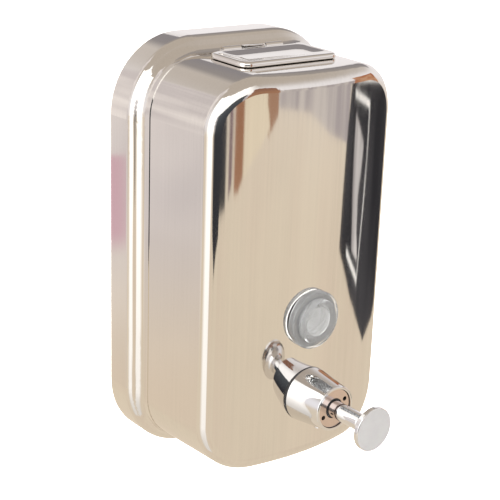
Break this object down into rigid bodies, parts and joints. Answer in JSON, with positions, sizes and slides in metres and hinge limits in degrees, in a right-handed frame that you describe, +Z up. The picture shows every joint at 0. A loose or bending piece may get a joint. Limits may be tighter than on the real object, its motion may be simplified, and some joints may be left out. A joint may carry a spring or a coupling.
{
  "type": "soap dispenser",
  "caption": "Wall mounted polished steel liquid soap dispenser with a crowned tank, hinged refill lid, round level window and a horizontal push valve.",
  "frame": {"origin": "centre of the wall face of the wall plate", "axes": "+Z up, +Y into the wall, -Y is the front, x = 0 is the plane of symmetry"},
  "size_m": [0.1162, 0.1221, 0.2],
  "materials": {
    "polished_steel": "mirror polished stainless steel sheet",
    "zinc_steel": "bright zinc plated steel",
    "chrome_plate": "polished chrome plate on brass",
    "satin_button": "chrome plate with a finely satined face",
    "spring_steel": "bright spring steel",
    "black_rubber": "smooth black moulded rubber",
    "clear_plastic": "clear moulded plastic",
    "white_plastic": "white acetal"
  },
  "bodies": {
    "wall_mount": {"wall_plate": "zinc_steel"},
    "housing": {"back_shell": "polished_steel", "front_shell": "polished_steel", "back_panel": "zinc_steel", "hanger_bracket": "zinc_steel", "bumper_pads": "black_rubber", "filler_neck": "polished_steel", "hinge_bracket": "polished_steel", "hinge_pin": "spring_steel", "sight_glass": "clear_plastic", "sight_gasket": "black_rubber", "sight_inner_gasket": "black_rubber", "sight_washer": "zinc_steel", "sight_nut": "white_plastic", "valve_body": "chrome_plate", "valve_gasket": "black_rubber", "valve_inner_gasket": "black_rubber", "valve_washer": "zinc_steel", "valve_nut": "chrome_plate", "outlet_nozzle": "chrome_plate", "end_cap": "chrome_plate", "shaft_seal": "black_rubber", "spring_seat": "spring_steel", "ball_seat": "black_rubber", "inlet_cap": "white_plastic", "intake_tube": "white_plastic", "return_spring": "spring_steel"},
    "lid": {"refill_lid": "polished_steel", "lid_gasket": "black_rubber", "lid_clip": "spring_steel"},
    "plunger": {"push_button": "satin_button", "plunger_shaft": "chrome_plate", "piston": "white_plastic", "piston_seals": "black_rubber", "piston_nut": "spring_steel"},
    "inlet_ball": {"check_ball": "spring_steel"}
  },
  "joints": [
    {"name": "housing_lift", "type": "slide", "parent": "wall_mount", "child": "housing", "axis": [0, 0, 1], "range_m": [0, 0.009]},
    {"name": "lid_swing", "type": "hinge", "parent": "housing", "child": "lid", "pos_m": [0, -0.02785, 0.09457], "axis": [-1, 0, 0], "range_deg": [0, 100]},
    {"name": "button_push", "type": "slide", "parent": "housing", "child": "plunger", "axis": [0, 1, 0], "range_m": [0, 0.014], "stiffness_N_per_m": 400, "springref_m": -0.01, "deforming": ["return_spring"]},
    {"name": "inlet_ball_lift", "type": "slide", "parent": "housing", "child": "inlet_ball", "axis": [0, -1, 0], "range_m": [0, 0.0015]}
  ]
}
